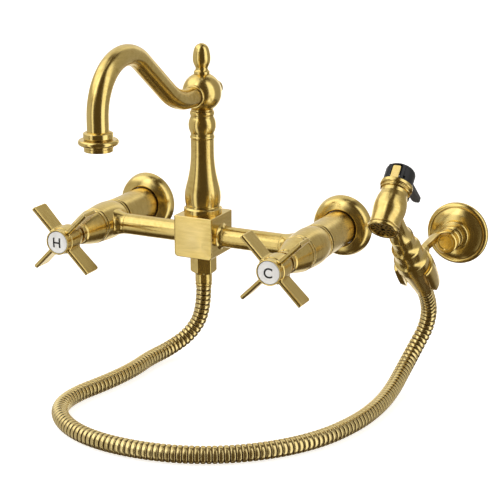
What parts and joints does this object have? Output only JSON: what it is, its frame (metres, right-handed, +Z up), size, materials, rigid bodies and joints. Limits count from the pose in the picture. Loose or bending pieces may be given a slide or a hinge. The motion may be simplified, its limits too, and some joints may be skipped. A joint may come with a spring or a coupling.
{
  "type": "wall-mounted kitchen faucet",
  "caption": "Wall-mounted bridge kitchen faucet with cross handles, a swivel gooseneck spout, and a side sprayer on a ribbed hose in its wall cradle.",
  "frame": {"origin": "on the wall plane, midway between the two inlets, at the height of their axes", "axes": "+Y into the wall along the inlets, +Z up, +X to the right as seen from the room"},
  "size_m": [0.3674, 0.336, 0.2985],
  "materials": {
    "satin_brass": "brushed satin",
    "plain_brass": "as machined",
    "black_plastic": "satin",
    "grey_plastic": "moulded",
    "porcelain": "glazed white",
    "ceramic": "lapped",
    "seal_rubber": "moulded",
    "steel": "plain"
  },
  "bodies": {
    "faucet": {"hot_wall_flange": "satin_brass", "hot_inlet_connector": "satin_brass", "hot_coupling_sleeve": "satin_brass", "hot_valve_body": "satin_brass", "hot_valve_bonnet": "satin_brass", "hot_cartridge_housing": "plain_brass", "hot_bridge_bar": "satin_brass", "cold_wall_flange": "satin_brass", "cold_inlet_connector": "satin_brass", "cold_coupling_sleeve": "satin_brass", "cold_valve_body": "satin_brass", "cold_valve_bonnet": "satin_brass", "cold_cartridge_housing": "plain_brass", "cold_bridge_bar": "satin_brass", "pipe_washers": "seal_rubber", "fixed_discs": "ceramic", "bridge_block": "satin_brass", "diverter_sleeve": "plain_brass", "column": "satin_brass", "spout_grub_screw": "steel", "outlet_nipple": "satin_brass", "hose_nut": "satin_brass", "hose_ferrule": "satin_brass", "spray_hose": "satin_brass", "bracket_wall_plate": "steel", "bracket_screws": "steel", "bracket_rosette": "satin_brass", "bracket_post": "satin_brass", "cradle_cap": "satin_brass", "sprayer_cradle": "satin_brass"},
    "spout": {"spout_hub": "satin_brass", "spout_o_rings": "seal_rubber", "finial": "satin_brass", "rear_plug": "satin_brass", "spout_tube": "satin_brass", "spout_tip": "satin_brass", "aerator_housing": "satin_brass", "aerator_insert": "grey_plastic"},
    "hot_handle": {"hot_moving_disc": "ceramic", "hot_valve_stem": "plain_brass", "hot_cross_handle": "satin_brass", "hot_handle_screw": "steel", "hot_index_button": "porcelain"},
    "cold_handle": {"cold_moving_disc": "ceramic", "cold_valve_stem": "plain_brass", "cold_cross_handle": "satin_brass", "cold_handle_screw": "steel", "cold_index_button": "porcelain"},
    "diverter": {"diverter_spool": "plain_brass", "diverter_spring": "steel"},
    "sprayer": {"sprayer_cone": "satin_brass", "sprayer_handle": "satin_brass", "sprayer_head": "satin_brass", "face_ring": "satin_brass", "spray_face": "grey_plastic", "sprayer_collar": "satin_brass", "lever_pin": "steel"},
    "lever": {"sprayer_lever": "black_plastic"},
    "plunger": {"valve_plunger": "steel", "valve_spring": "steel"}
  },
  "joints": [
    {"name": "spout_swivel", "type": "hinge", "parent": "faucet", "child": "spout", "pos_m": [0, -0.0806, 0.1112], "axis": [0, 0, 1], "range_deg": [-105, 105]},
    {"name": "hot_handle_turn", "type": "hinge", "parent": "faucet", "child": "hot_handle", "pos_m": [-0.1016, -0.131, 0], "axis": [0, -1, 0], "range_deg": [0, 90]},
    {"name": "cold_handle_turn", "type": "hinge", "parent": "faucet", "child": "cold_handle", "pos_m": [0.1016, -0.131, 0], "axis": [0, 1, 0], "range_deg": [0, 90]},
    {"name": "diverter_slide", "type": "slide", "parent": "faucet", "child": "diverter", "axis": [0, 0, 1], "range_m": [0, 0.0025], "stiffness_N_per_m": 100, "springref_m": -0.004},
    {"name": "sprayer_lift", "type": "slide", "parent": "faucet", "child": "sprayer", "axis": [0, -0.7071, 0.7071], "range_m": [0, 0.04]},
    {"name": "lever_press", "type": "hinge", "parent": "sprayer", "child": "lever", "pos_m": [0.203, -0.14765, 0.0886], "axis": [-1, 0, 0], "range_deg": [0, 8]},
    {"name": "plunger_slide", "type": "slide", "parent": "sprayer", "child": "plunger", "axis": [0, -0.7071, -0.7071], "range_m": [0, 0.002], "stiffness_N_per_m": 300, "springref_m": -0.004}
  ],
  "couplings": [
    {"joint": "lever_press", "follows": "plunger_slide", "rad_per_m": 69.8}
  ]
}
